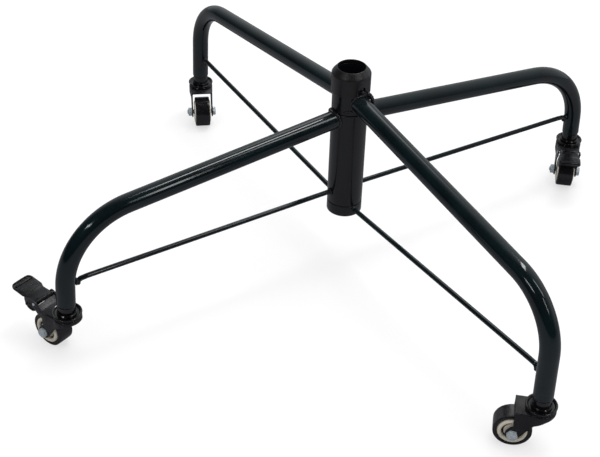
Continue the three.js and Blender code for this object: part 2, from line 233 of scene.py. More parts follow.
PEDAL_BLACK = finish(
    "pedal_black", base=(8, 8, 10), tint=(13, 13, 15), rough=0.27, specular=0.3, patch=110.0,
    grain=1500.0, grain_depth=0.00001, peel=0.00001, peel_scale=400.0,
    dust=0.03, edge=0.22, edge_colour=(80, 80, 84),
)
FORK_BLACK = finish(
    "fork_black", base=(9, 8, 11), tint=(14, 13, 16), rough=0.30, specular=0.38, patch=120.0,
    grain=1500.0, grain_depth=0.00001, peel=0.00001, peel_scale=400.0,
    dust=0.04, edge=0.3, edge_colour=(84, 82, 88),
)
NECK_PLASTIC = finish(
    "neck_plastic", base=(8, 8, 9), tint=(14, 14, 16), rough=0.12, specular=0.6, patch=120.0,
    grain=1800.0, grain_depth=0.000006, peel=0.00001, peel_scale=420.0, dust=0.05,
)
TREAD = finish(
    "tread_rubber", base=(10, 9, 12), tint=(20, 18, 22), rough=0.22, specular=0.55, patch=170.0,
    grain=1700.0, grain_depth=0.00001, peel=0.00002, peel_scale=300.0,
    dust=0.12, edge=0.25, edge_colour=(90, 86, 92),
)
CORE = finish(
    "core_plastic", base=(206, 198, 180), tint=(222, 216, 200), rough=0.42, patch=140.0,
    grain=1400.0, grain_depth=0.00003, dust=0.10, edge=0.15, edge_colour=(230, 226, 216),
)
# painted shade: flat black for the rings that make the wheel's groove read dark
GROOVE_SHADE_BLACK = finish(
    "groove_painted_shade", base=(12, 12, 13), tint=(22, 21, 22), rough=0.55, patch=200.0,
    grain=1800.0, grain_depth=0.00004,
)
ZINC = finish(
    "zinc_plate", base=(196, 208, 214), tint=(160, 174, 182), rough=0.30, metallic=0.45,
    patch=260.0, grain=2400.0, grain_depth=0.00002, streaks=0.00002,
    edge=0.5, edge_colour=(236, 240, 242),
)


# ---- objects ---------------------------------------------------------------------------------
def tidy(ob, material, sharp=32.0):
    """One material and smooth shading, with edges above sharp degrees kept sharp."""
    mesh = ob.data
    mesh.materials.clear()
    mesh.materials.append(material)
    for polygon in mesh.polygons:
        polygon.use_smooth = True
        polygon.material_index = 0
    mesh.set_sharp_from_angle(angle=math.radians(sharp))
    mesh.update()


def build(name, shape, material, place=None, sharp=32.0):
    """A mesh object at the origin from a shape (vertices in mm, faces), moved by place."""
    verts, faces = shape
    points = [Vector(v) for v in verts]
    if place is not None:
        points = [place @ p for p in points]
    mesh = bpy.data.meshes.new(name)
    mesh.from_pydata([tuple(p * MM) for p in points], [], faces)
    mesh.update()
    ob = bpy.data.objects.new(name, mesh)
    bpy.context.scene.collection.objects.link(ob)
    bm = bmesh.new()
    bm.from_mesh(mesh)
    bmesh.ops.remove_doubles(bm, verts=bm.verts, dist=1e-7)
    bmesh.ops.recalc_face_normals(bm, faces=bm.faces)
    bm.to_mesh(mesh)
    bm.free()
    tidy(ob, material, sharp)
    return ob


def put(ob, body, slot, *nodes):
    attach(ob, body)
    if nodes:
        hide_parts(*nodes)


def move_mesh(ob, place):
    """Moves a finished mesh by a matrix given in mm."""
    for matrix in (Matrix.Scale(1 / MM, 4), place, Matrix.Scale(MM, 4)):
        ob.data.transform(matrix)


def apply_modifiers(ob):
    depsgraph = bpy.context.evaluated_depsgraph_get()
    new = bpy.data.meshes.new_from_object(ob.evaluated_get(depsgraph))
    old = ob.data
    ob.modifiers.clear()
    ob.data = new
    bpy.data.meshes.remove(old)


def tool(shape):
    return build("tool", shape, FORK_BLACK)


def carve(ob, tools, operation):
    """Boolean of ob with each tool in turn; the tools are removed."""
    for cutter in tools:
        mod = ob.modifiers.new("boolean", "BOOLEAN")
        mod.operation = operation
        mod.solver = "EXACT"
        mod.object = cutter
        bpy.context.view_layer.update()
        apply_modifiers(ob)
        mesh = cutter.data
        bpy.data.objects.remove(cutter)
        bpy.data.meshes.remove(mesh)


def soften(ob, width, angle):
    """Cleans up after the booleans and bevels edges above angle degrees."""
    bm = bmesh.new()
    bm.from_mesh(ob.data)
    bmesh.ops.dissolve_degenerate(bm, dist=1e-6, edges=bm.edges)
    bmesh.ops.dissolve_limit(
        bm, angle_limit=math.radians(1.0), verts=bm.verts, edges=bm.edges
    )
    bm.to_mesh(ob.data)
    bm.free()
    mod = ob.modifiers.new("bevel", "BEVEL")
    mod.width = width * MM
    mod.segments = 2
    mod.limit_method = "ANGLE"
    mod.angle_limit = math.radians(angle)
    mod.use_clamp_overlap = True
    mod.miter_outer = "MITER_ARC"
    bpy.context.view_layer.update()
    apply_modifiers(ob)


# ---- shapes: each is (vertices, faces) -------------------------------------------------------
def fillet(corners, radius=None, steps=5, closed=True):
    """Rounds the corners of a 2-D outline.

    Corners are (a, b) with a common radius, or (a, b, radius).
    """
    out = []
    count = len(corners)
    for i, corner in enumerate(corners):
        point = tuple(corner[:2])
        r = corner[2] if radius is None else radius
        if not closed and i in (0, count - 1):
            out.append(point)
            continue
        middle = Vector(point)
        back = Vector(corners[i - 1][:2]) - middle
        ahead = Vector(corners[(i + 1) % count][:2]) - middle
        back_length, ahead_length = back.length, ahead.length
        back.normalize()
        ahead.normalize()
        angle = back.angle(ahead)
        if angle > math.radians(176) or r <= 0:
            out.append(point)
            continue
        cut = min(r / math.tan(angle / 2), 0.45 * back_length, 0.45 * ahead_length)
        start = middle + back * cut
        end = middle + ahead * cut
        for k in range(steps + 1):
            u = k / steps
            out.append(tuple(start * (1 - u) ** 2 + middle * 2 * u * (1 - u) + end * u * u))
    return out


def mirrored(half):
    """A wheel profile from its -Y half: (r, y) or (r, y, rounding)."""
    return half + [(r, -y, *rest) for r, y, *rest in reversed(half)]


def band(a, b):
    """Quads between two rows of vertex numbers."""
    n = len(a)
    return [(a[i], a[(i + 1) % n], b[(i + 1) % n], b[i]) for i in range(n)]


def skin(loops, closed=False):
    """Surface through loops of equal length, open at the ends or closed into a ring."""
    n = len(loops[0])
    rows = [range(k * n, (k + 1) * n) for k in range(len(loops))]
    faces = []
    for k in range(len(rows) if closed else len(rows) - 1):
        faces += band(rows[k], rows[(k + 1) % len(rows)])
    return [p for loop in loops for p in loop], faces


def end_faces(loops):
    n = len(loops[0])
    count = len(loops) * n
    return [tuple(range(n))[::-1], tuple(range(count - n, count))]


def loft(loops):
    """Closed solid through loops of equal length."""
    verts, faces = skin(loops)
    return verts, end_faces(loops) + faces


def prism(outline, low, high, axis):
    """Prism along an axis on an outline of (x, y), (x, z) or (y, z)."""
    order = {"x": (2, 0, 1), "y": (0, 2, 1), "z": (0, 1, 2)}[axis]
    loops = []
    for level in (low, high):
        loops.append([tuple((a, b, level)[k] for k in order) for a, b in outline])
    return loft(loops)


def lathe(profile, seg):
    """A profile of (r, z) turned about Z; it is closed unless it starts on the axis."""
    verts, faces, rows = [], [], []
    for r, z in profile:
        if r < 1e-6:
            rows.append([len(verts)])
            verts.append((0.0, 0.0, z))
            continue
        rows.append(range(len(verts), len(verts) + seg))
        for i in range(seg):
            angle = 2 * math.pi * i / seg
            verts.append((r * math.cos(angle), r * math.sin(angle), z))
    count = len(rows) if profile[0][0] > 0 else len(rows) - 1
    for k in range(count):
        a, b = rows[k], rows[(k + 1) % len(rows)]
        if len(a) == 1:
            faces += [(a[0], b[i], b[(i + 1) % seg]) for i in range(seg)]
        elif len(b) == 1:
            faces += [(a[i], a[(i + 1) % seg], b[0]) for i in range(seg)]
        else:
            faces += band(a, b)
    return verts, faces


def about_y(shape, x=0.0, z=0.0):
    """A shape made about Z, laid along Y through (x, z)."""
    verts, faces = shape
    return [(x + a, c, z + b) for a, b, c in verts], faces


def cylinder_y(r, y0, y1, x, z, seg, chamfer=0.0):
    if chamfer:
        profile = [
            (0, y0), (r - chamfer, y0), (r, y0 + chamfer),
            (r, y1 - chamfer), (r - chamfer, y1), (0, y1),
        ]
    else:
        profile = [(0, y0), (r, y0), (r, y1), (0, y1)]
    return about_y(lathe(profile, seg), x, z)


def frames_along(path):
    """Tangent, side and up at each station of a path, with the least twist."""
    tangents = []
    for i, p in enumerate(path):
        direction = Vector((0, 0, 0))
        if i > 0:
            direction += (p - path[i - 1]).normalized()
        if i < len(path) - 1:
            direction += (path[i + 1] - p).normalized()
        tangents.append(direction.normalized())
    side = tangents[0].cross(Vector((0, 0, 1)))
    if side.length < 1e-3:
        side = tangents[0].cross(Vector((1, 0, 0)))
    side.normalize()
    out = []
    for tangent in tangents:
        side = (side - tangent * side.dot(tangent)).normalized()
        out.append((tangent, side, side.cross(tangent).normalized()))
    return out


def sweep(path, radii, seg):
    """Round loops along a path, with one radius for each station."""
    loops = []
    for p, r, (_, side, up) in zip(path, radii, frames_along(path)):
        angles = [2 * math.pi * k / seg for k in range(seg)]
        loops.append([p + side * (r * math.cos(a)) + up * (r * math.sin(a)) for a in angles])
    return loops


def capped(loops):
    verts, faces = skin(loops)
    return verts, faces + end_faces(loops)


def subdivide(points, step):
    """Splits the long segments of a 2-D line into parts no shorter than step."""
    out = []
    for a, b in zip(points, points[1:]):
        k = max(1, int(math.hypot(b[0] - a[0], b[1] - a[1]) / step))
        for j in range(k):
            out.append((a[0] + (b[0] - a[0]) * j / k, a[1] + (b[1] - a[1]) * j / k))
    out.append(points[-1])
    return out


def reach(p, direction, radius):
    """Distance from p along direction to the cylinder of a radius about Z."""
    a = direction.x * direction.x + direction.y * direction.y
    b = 2 * (p.x * direction.x + p.y * direction.y)
    c = p.x * p.x + p.y * p.y - radius ** 2
    return (-b + math.sqrt(max(b * b - 4 * a * c, 0))) / (2 * a)


# ---- legs ------------------------------------------------------------------------------------
def corner_height(pair):
    """Height above the floor of the leg's unrounded corner."""
    return pair.height - pair.corner * math.tan(math.radians(pair.slope))


def foot_radius(pair):
    """Distance of the leg's lower end from the hub's axis."""
    drop = corner_height(pair) - STEM_HEIGHT
    return pair.corner + drop * math.tan(math.radians(pair.splay))


def leg_line(pair, bend_steps):
    """Centreline (r, z): out from the hub's axis, round the bend and down to the foot."""
    slope = math.radians(pair.slope)
    turn = math.pi / 2 - slope - math.radians(pair.splay)
    cut = pair.bend * math.tan(turn / 2)
    bend_start = (
        pair.corner - cut * math.cos(slope),
        corner_height(pair) + cut * math.sin(slope),
    )
    centre_r = bend_start[0] - pair.bend * math.sin(slope)
    centre_z = bend_start[1] - pair.bend * math.cos(slope)
    line = [(0.0, pair.height), bend_start]
    for i in range(1, bend_steps + 1):
        angle = slope + turn * i / bend_steps
        r = centre_r + pair.bend * math.sin(angle)
        line.append((r, centre_z + pair.bend * math.cos(angle)))
    line.append((foot_radius(pair), STEM_HEIGHT))
    return [(r, z - SEAT) for r, z in line]


def outward(line, key):
    """Path in space from a line of (r, z) in the leg's heading."""
    heading = math.radians(HEADING[key])
    c, s = math.cos(heading), math.sin(heading)
    return [Vector((r * c, r * s, z)) for r, z in line]


def leg(key):
    """A tube with a wall, its hub end cut to the round of the hub."""
    seg = 56
    pair = PAIR[key]
    path = outward(subdivide(leg_line(pair, bend_steps=26), 40), key)
    start = (path[1] - path[0]).normalized()
    walls = []
    for radius in (LEG_R, LEG_R - LEG_WALL):
        loops = sweep(path, [radius] * len(path), seg)
        loops[0] = [p + start * reach(p, start, HUB_R + 0.05) for p in loops[0]]
        walls.append(skin(loops))
    (outer, outer_faces), (inner, inner_faces) = walls
    n = len(outer)
    faces = [f[::-1] for f in outer_faces]
    faces += [tuple(n + k for k in f) for f in inner_faces]
    faces += band(range(seg), range(n, n + seg))
    faces += [f[::-1] for f in band(range(n - seg, n), range(2 * n - seg, 2 * n))]
    ob = build("leg_tube_" + key, (outer + inner, faces), PAINT, sharp=40)
    put(ob, pair.body, "paint", "leg_" + key)


# ---- welds -----------------------------------------------------------------------------------
SPLIT_A = 217.6 - SEAT  # welds on the collar stay above this
SPLIT_B = 216.4 - SEAT  # welds on the sleeve stay below this, apart from a squeezed remainder
SLEEVE_EDGE = 214.4 - SEAT
SLEEVE_CLEAR_R = HUB_R + 0.3


def keep_side(verts, body):
    """Squeezes weld metal back to its own half of the hub, so that the halves turn freely."""
    out = []
    for p in verts:
        p = Vector(p)
        r = math.hypot(p.x, p.y)
        if body == "frame_a" and SPLIT_A - 6 < p.z < SPLIT_A and r < 45:
            p.z = SPLIT_A - 0.12 * (SPLIT_A - p.z)
        elif body == "frame_b" and 180 - SEAT < p.z and r < 45:
            if p.z > SPLIT_B:
                p.z = SPLIT_B + 0.12 * (p.z - SPLIT_B)
            if p.z > SLEEVE_EDGE and r < SLEEVE_CLEAR_R:
                p.x *= SLEEVE_CLEAR_R / r
                p.y *= SLEEVE_CLEAR_R / r
        out.append(p)
    return out


def weld(name, shape, body):
    verts, faces = shape
    put(build(name, (keep_side(verts, body), faces), WELD, sharp=70), body, "hub_paint")


def leg_weld(key, heavy, thick, seed):
    """Rippled bead round a leg's joint with the hub, of radius thick at the phase heavy."""
    thin = 1.3
    ripples, per_ripple, seg = 30, 8, 16
    pair = PAIR[key]
    heading = Matrix.Rotation(math.radians(HEADING[key]), 4, "Z")
    slope = math.radians(pair.slope)
    along = Vector((math.cos(slope), 0, -math.sin(slope)))
    above = Vector((math.sin(slope), 0, math.cos(slope)))
    across = Vector((0, 1, 0))
    centre = Vector((0, 0, pair.height - SEAT))
    count = ripples * per_ripple
    path, sizes = [], []
    for i in range(count):
        phase = 2 * math.pi * i / count
        c, s = math.cos(phase), math.sin(phase)
        weight = (0.5 + 0.5 * math.cos(phase - math.radians(heavy))) ** 1.3
        wobble = noise.noise(Vector((c * 3 + seed, s * 3, seed)))
        lift = 0.1 + 0.85 * weight
        offset = LEG_R + lift + 0.45 * weight * wobble
        p = centre + above * (offset * c) + across * (offset * s)
        path.append(heading @ (p + along * reach(p, along, HUB_R + lift)))
        ripple = (i % per_ripple) / per_ripple
        swell = noise.noise(Vector((c * 2.2 + seed, s * 2.2, seed + 5)))
        size = thin + (thick - thin) * weight
        sizes.append(size * (1.0 - 0.24 * weight * ripple ** 1.4 + 0.14 * weight * swell))
    loops = []
    for i, p in enumerate(path):
        tangent = (path[(i + 1) % count] - path[i - 1]).normalized()
        out = Vector((p.x, p.y, 0)).normalized()
        side = (out - tangent * out.dot(tangent)).normalized()
        up = tangent.cross(side)
        loop = []
        for k in range(seg):
            angle = 2 * math.pi * k / seg
            r = sizes[i] * (1 + 0.05 * noise.noise(Vector((i * 0.9, k * 1.7, seed))))
            loop.append(p + side * (r * math.cos(angle)) + up * (r * math.sin(angle)))
        loops.append(loop)
    weld("weld_leg_" + key, skin(loops, closed=True), pair.body)


def weld_run(name, points, sizes, seed):
    """An open rippled run on the collar: a smooth curve through points, with rounded ends."""
    steps = 44
    end_shares = (0.25, 0.6, 0.85)
    path, radii = [], []
    last = len(points) - 1
    for i in range(steps + 1):
        f = i / steps * last
        j = min(int(f), last - 1)
        t = f - j
        p0, p1 = Vector(points[max(j - 1, 0)]), Vector(points[j])
        p2, p3 = Vector(points[j + 1]), Vector(points[min(j + 2, last)])
        path.append(0.5 * (
            (2 * p1)
            + (p2 - p0) * t
            + (2 * p0 - 5 * p1 + 4 * p2 - p3) * t * t
            + (3 * p1 - p0 - 3 * p2 + p3) * t ** 3
        ))
        size = sizes[j] + (sizes[j + 1] - sizes[j]) * t
        from_end = min(i, steps - i)
        share = end_shares[from_end] if from_end < 3 else 1.0
        swell = noise.noise(Vector((i * 0.3, seed, 0)))
        radii.append(size * share * (1.0 - 0.18 * ((i % 6) / 6) ** 1.4 + 0.1 * swell))
    weld(name, capped(sweep(path, radii, 16)), "frame_a")


def blob(name, centre, size, body, slot, seed, stretch, turn):
    """A small lump of weld metal, stretched in x, y, z and then turned about Z."""
    bm = bmesh.new()
    bmesh.ops.create_icosphere(bm, subdivisions=4, radius=1.0)
    rotation = Matrix.Rotation(turn, 3, "Z")
    verts = []
    for v in bm.verts:
        d = v.co.normalized()
        lumps = noise.noise(d * 2.3 + Vector((seed, 0, 0)))
        bumps = noise.noise(d * 7 + Vector((0, seed, 0)))
        r = size * (1 + 0.16 * lumps + 0.05 * bumps)
        q = rotation @ Vector((d.x * stretch[0], d.y * stretch[1], d.z * stretch[2]))
        verts.append(Vector(centre) + q * r)
    faces = [tuple(v.index for v in f.verts) for f in bm.faces]
    bm.free()
    put(build(name, (verts, faces), WELD, sharp=80), body, slot)


def on_hub(points, r):
    """Points in space from (angle in degrees, height above the floor) at a radius."""
    out = []
    for degrees, height in points:
        angle = math.radians(degrees)
        out.append((r * math.cos(angle), r * math.sin(angle), height - SEAT))
    return out


def collar_welds():
    # runs that begin in the cap's arches, and one down the side of the +X leg
    weld_run(
        "weld_start_px", on_hub([(-3, 247.2), (2, 246.6), (8, 244.4), (16, 241.6)], 22.0),
        sizes=[1.5, 2.2, 2.5, 2.6], seed=1.0,
    )
    # x, y, height above the floor
    side = [
        (22.6, 7.0, 243.6), (24.4, 10.4, 241.2), (26.4, 12.2, 237.6),
        (28.2, 12.8, 233.4), (30.2, 12.4, 229.6),
    ]
    weld_run(
        "weld_side_px", [(x, y, height - SEAT) for x, y, height in side],
        sizes=[2.5, 2.7, 2.6, 2.4, 1.8], seed=6.0,
    )
    weld_run(
        "weld_start_nx", on_hub([(183, 246.4), (178, 246.0), (172, 243.8), (165, 241.2)], 22.0),
        sizes=[1.4, 2.0, 2.3, 2.4], seed=2.0,
    )
    # bows along the collar's lower edge
    bow = [(-55, 219.0), (-46, 220.6), (-37, 221.8), (-28, 221.2), (-20, 219.6)]
    weld_run("weld_bow_px", on_hub(bow, HUB_R), sizes=[0.8, 1.1, 1.4, 1.5, 1.2], seed=3.0)
    bow = [(125, 219.0), (134, 220.2), (143, 221.4), (152, 220.8), (160, 219.4)]
    weld_run("weld_bow_nx", on_hub(bow, HUB_R), sizes=[0.8, 1.1, 1.3, 1.4, 1.1], seed=4.0)
    # drops along the lower edge: degrees, height above the floor, size
    drops = (
        (-64, 218.6, 1.2), (-42, 218.7, 1.3), (38, 218.6, 1.3),
        (62, 218.8, 1.2), (118, 218.7, 1.2), (205, 218.6, 1.3),
    )
    for i, (degrees, height, size) in enumerate(drops):
        (centre,) = on_hub([(degrees, height)], 21.3)
        blob(
            f"weld_drop_{i}", centre, size, "frame_a", "hub_paint",
            seed=2.0 + i, stretch=(0.5, 2.0, 0.75), turn=math.radians(degrees),
        )


# ---- brace rods ------------------------------------------------------------------------------
def rod(key):
    """A thin rod from the hub to the leg, turned down and rounded at its leg end."""
    seg = 24
    pair = PAIR[key]
    hub_z, leg_z = (height - SEAT for height in pair.rod_heights)
    splay = math.radians(pair.splay)
    leg_face = foot_radius(pair) - (leg_z - STEM) * math.tan(splay) - LEG_R / math.cos(splay)
    end_r = leg_face - ROD_R * 0.55

    def on_line(r):
        return r, hub_z + (leg_z - hub_z) * (r - HUB_R) / (end_r - HUB_R)

    corners = [
        on_line(HUB_R - 1.0),
        on_line(end_r - 14),
        (end_r - 5.5, leg_z - 0.6),
        (end_r - 2.6, leg_z - 2.6),
        (end_r - 1.9, leg_z - 6),
    ]
    path = outward(subdivide(fillet(corners, 4.0, 6, closed=False), 30), key)
    loops = sweep(path, [ROD_R] * len(path), seg)
    tangent = (path[-1] - path[-2]).normalized()
    last = loops[-1]
    # rounded end: share of its length, share of the radius
    for ahead, share in ((0.35, 0.97), (0.75, 0.85), (1.0, 0.6)):
        loops.append([
            path[-1] + (p - path[-1]) * share + tangent * (ahead * 1.2) for p in last
        ])
    verts, faces = skin(loops)
    faces += end_faces(loops)[::-1]
    ob = build("brace_rod_" + key, (verts, faces), PAINT, sharp=50)
    put(ob, pair.body, "paint", "rod_" + key)

    heading = math.radians(HEADING[key])
    out = Vector((math.cos(heading), math.sin(heading), 0))
    side = Vector((-out.y, out.x, 0))
    tip = end_r - 0.2
    # weld lumps: name, radius, sideways, z, size, slot, seed, stretch
    lumps = (
        ("hub_a", HUB_R + 0.6, 0.0, hub_z + 1.6, 2.6, "hub_paint", 5.1, (0.8, 1.4, 1.0)),
        ("hub_b", HUB_R + 0.4, 2.2, hub_z - 1.4, 2.3, "hub_paint", 7.7, (0.8, 1.0, 1.0)),
        ("leg_a", tip, 0.0, leg_z - 1.0, 2.6, "paint", 1.3, (0.9, 1.25, 1.2)),
        ("leg_b", tip + 0.4, 1.2, leg_z - 4.2, 2.1, "paint", 9.4, (0.9, 1.1, 1.3)),
    )
    for name, r, aside, z, size, slot, seed, stretch in lumps:
        centre = out * r + side * aside + Vector((0, 0, z))
        blob(f"weld_rod_{name}_{key}", centre, size, pair.body, slot, seed, stretch, heading)


# ---- hub -------------------------------------------------------------------------------------
def hub_ring(name, inner_r, outer_r, bottom, top, edge, body):
    """A turned ring between two heights above the floor, with rounded edges."""
    z0, z1 = bottom - SEAT, top - SEAT
    corners = [(inner_r, z0), (outer_r, z0), (outer_r, z1), (inner_r, z1)]
    profile = fillet(corners, edge, 4)
    if z1 - z0 > 20:
        # extra rows on the long outer face, which follows two corners of five points
        profile[10:10] = [(outer_r, z0 + (z1 - z0) * k / 6) for k in range(1, 6)]
    ob = build(name + "_smooth", lathe(profile, 128), HUB_PAINT, sharp=40)
    put(ob, body, "hub_paint", name)


def pole_seat():
    """The disc in the bore that the pole stands on."""
    r = BORE_R - 0.1
    profile = fillet([(0, -4.0), (r, -4.0), (r, 0.0), (0, 0.0)], 0.3, 3, closed=False)
    ob = build("pole_seat_smooth", lathe(profile, 96), HUB_PAINT)
    put(ob, "frame_a", "hub_paint", "pole_seat")


def cap():
    """The plastic cap over the collar, with an arch and a raised lip over each X leg."""
    arch_r, arch_height, arch_steps = 5.2, 248.3, 24
    lip_r, lip_step = 5.4, 0.9
    skirt_r = 23.2
    # radius, height above the floor, rounding
    corners = [
        (16.4, 265.3, 0.2), (19.3, 265.3, 0.1), (19.3, 261, 0.1),
        (HUB_R + 0.3, 261, 0.1), (HUB_R + 0.3, 239.4, 0.3), (skirt_r, 239.4, 0.5),
        (skirt_r, 262.2, 1.2), (22.5, 263.7, 1.0), (17.6, 269.4, 0.7),
        (16.9, 269.8, 0.4), (16.4, 269.4, 0.3),
    ]
    profile = [(r, z - SEAT) for r, z in fillet(corners)]
    ob = build("cap_smooth", lathe(profile, 160), CAP_PLASTIC, sharp=38)
    arch = []
    for i in range(arch_steps + 1):
        angle = math.pi * i / arch_steps
        z = arch_height - SEAT + arch_r * math.sin(angle)
        arch.append((arch_r * math.cos(angle), z))
    arch += [(-arch_r, 225 - SEAT), (arch_r, 225 - SEAT)]
    cutters = [tool(prism(arch, low, high, "x")) for low, high in ((19.6, 40), (-40, -19.6))]
    carve(ob, cutters, "DIFFERENCE")
    tidy(ob, CAP_PLASTIC, 38)
    put(ob, "frame_a", "cap_plastic", "cap")
    for side, key in ((1, "px"), (-1, "nx")):
        path = []
        for i in range(-6, arch_steps + 7):
            if i < 0:
                y, z = lip_r, arch_height + i * lip_step
            elif i > arch_steps:
                y, z = -lip_r, arch_height - (i - arch_steps) * lip_step
            else:
                angle = math.pi * i / arch_steps
                y, z = lip_r * math.cos(angle), arch_height + lip_r * math.sin(angle)
            path.append(Vector((side * math.sqrt(23.1 ** 2 - y * y), y, z - SEAT)))
        lip = capped(sweep(path, [0.55] * len(path), 12))
        ob = build("cap_arch_lip_" + key, lip, CAP_PLASTIC, sharp=60)
        put(ob, "frame_a", "cap_plastic")


# name, inner and outer radius, bottom and top above the floor, edge rounding, body
HUB_RINGS = (
    ("socket_tube", BORE_R + 0.1, TUBE_R, 71.2, 264.8, 0.5, "frame_a"),
    ("collar", TUBE_R + 0.1, HUB_R, 215.6, 260.4, 0.7, "frame_a"),
    ("sleeve", TUBE_R + 0.35, HUB_R, 86.1, 214.7, 0.7, "frame_b"),
    ("bottom_ring", TUBE_R + 0.1, HUB_R, 71.2, 85.3, 0.7, "frame_a"),
)
for ring in HUB_RINGS:
    hub_ring(*ring)
pole_seat()
cap()
for key in PAIR:
    leg(key)
    rod(key)
leg_weld("px", heavy=48, thick=3.3, seed=1.7)
leg_weld("nx", heavy=-48, thick=3.0, seed=4.1)
leg_weld("py", heavy=50, thick=2.8, seed=8.3)
leg_weld("ny", heavy=-35, thick=2.8, seed=12.9)
collar_welds()


# ---- caster: race and neck -------------------------------------------------------------------
def race_cup(key, place):
    """Upper race: a dish on two stacked rings."""
    # radius, z, rounding
    corners = [
        (4.4, RACE_BOTTOM, 0.2), (15.9, RACE_BOTTOM, 0.5), (16.5, RACE_BOTTOM + 0.7, 0.45),
        (15.9, RACE_BOTTOM + 1.4, 0.35), (16.9, RACE_BOTTOM + 2.0, 0.45),
        (16.3, RACE_BOTTOM + 2.8, 0.35), (RACE_R, RACE_TOP - 1.8, 0.7),
        (RACE_R, RACE_TOP - 0.6, 0.7), (RACE_R - 0.8, RACE_TOP, 0.6),
        (RACE_R - 2.2, RACE_TOP - 0.7, 0.8), (13.8, RACE_BOTTOM + 2.6, 1.0),
        (4.4, RACE_BOTTOM + 2.4, 0.2),
    ]
    ob = build("race_cup_" + key, lathe(fillet(corners), 96), GLOSS, place, sharp=50)
    put(ob, PAIR[key].body, "caster_black", "cup_" + key)


def neck(key, place):
    """Plug in the leg end, neck, and rivet through the race and the fork."""
    # radius, z, rounding
    corners = [
        (0, CROWN_Z - 4.6, 0), (7, CROWN_Z - 4.6, 1.4), (7, CROWN_Z - 2.3, 0.3),
        (4, CROWN_Z - 2.3, 0.2), (4, RACE_BOTTOM + 2.8, 0.2), (11.4, RACE_BOTTOM + 2.8, 0.6),
        (11.4, RACE_BOTTOM + 4.4, 0.6), (10.2, RACE_BOTTOM + 5.4, 0.8), (10.2, -1.1, 0.8),
        (8.5, -1.1, 0.2), (8.5, 9, 0.8), (0, 9, 0),
    ]
    shape = lathe(fillet(corners, closed=False), 72)
    ob = build("neck_" + key, shape, NECK_PLASTIC, place, sharp=50)
    put(ob, PAIR[key].body, "plug_plastic", "stem_" + key)


# ---- caster: wheel (hub is the matrix of the wheel's centre) ---------------------------------
def wheel(key, hub):
    body = "wheel_" + key
    w = HALF_WHEEL
    # nearly flat tread with tight rounded shoulders: radius, y, rounding
    tread = mirrored([
        (16.2, -w + 1.0, 0.3), (17.5, -w + 0.1, 0.8), (19.9, -w + 0.05, 0.7),
        (20.85, -w + 0.75, 0.7), (20.98, -w + 2.4, 1.5), (WHEEL_R, -w + 5, 3.0),
    ])
    shape = about_y(lathe(fillet(tread), 144))
    ob = build("tread_smooth_" + key, shape, TREAD, hub, sharp=50)
    put(ob, body, "tread", "tread_" + key)

    # outer ring and hub with a deep groove between them: radius, y, rounding
    core = mirrored([
        (4.4, -w + 0.2, 0.2), (9.0, -w + 0.2, 0.6), (9.6, -w + 4.4, 0.3),
        (11.2, -w + 4.4, 0.3), (11.8, -w - 0.6, 0.6), (13.4, -w - 1.4, 1.2),
        (15.0, -w - 1.1, 0.9), (15.8, -w - 0.1, 0.6), (16.0, -w + 1.2, 0.2),
    ])
    shape = about_y(lathe(fillet(core, steps=4), 120))
    ob = build("core_smooth_" + key, shape, CORE, hub, sharp=50)
    put(ob, body, "core", "core_" + key)

    # black ring in the groove on each side, painted shade that makes the groove read dark:
    # radius, depth in from the wheel's face
    groove = ((9.5, 4.5), (11.35, 4.5), (11.5, 1.6), (9.35, 1.9))
    for sign, side in ((1, "a"), (-1, "b")):
        corners = [(r, sign * (w - depth)) for r, depth in groove]
        shape = about_y(lathe(fillet(corners, 0.3, 3), 96))
        put(build(f"groove_shade_ring_{side}_{key}", shape, GROOVE_SHADE_BLACK, hub, sharp=50), body, "tread")


# ---- caster: bush, bolt and nut --------------------------------------------------------------
def hexagon(z0, z1, chamfer_bottom, chamfer_top, hole=0.0, crown=0.0):
    """Hexagon with blunted corners, optional chamfers and hole, and a top domed by crown."""
    seg = 72
    flat_r = HEX_R * math.cos(math.pi / 6)
    inner = max(hole, 0.001)

    def edge_radius(angle):
        from_flat = angle % (math.pi / 3) - math.pi / 6
        return min(flat_r / math.cos(from_flat), HEX_R - 0.12)

    def loop(share, top):
        out = []
        for i in range(seg):
            angle = 2 * math.pi * i / seg
            r = inner + (edge_radius(angle) - inner) * share
            cut = max(0.0, r - (flat_r - 0.25)) * math.tan(math.radians(30))
            if top:
                dome = max(crown * (1 - (r / flat_r) ** 2), 0)
                z = z1 - cut * chamfer_top + dome
            else:
                z = z0 + cut * chamfer_bottom
            out.append((r * math.cos(angle), r * math.sin(angle), z))
        return out

    shares = (0.0, 0.5, 0.85, 0.93, 1.0)
    loops = [loop(share, False) for share in shares]
    loops += [loop(share, True) for share in reversed(shares)]
    return skin(loops, closed=True) if hole > 0 else capped(loops)


def threaded(r, z0, z1, pitch, depth, seg):
    """A stud with ring-cut threads and a chamfered end at z0."""
    profile = [(0.0, z0), (r - 0.9, z0), (r - 0.25, z0 + 0.55)]
    z = z0 + 0.9
    while z + pitch < z1:
        profile += [
            (r, z), (r, z + pitch * 0.15),
            (r - depth, z + pitch * 0.5), (r - depth, z + pitch * 0.62),
        ]
        z += pitch
    profile += [(r, z1), (0.0, z1)]
    return lathe(profile, seg)


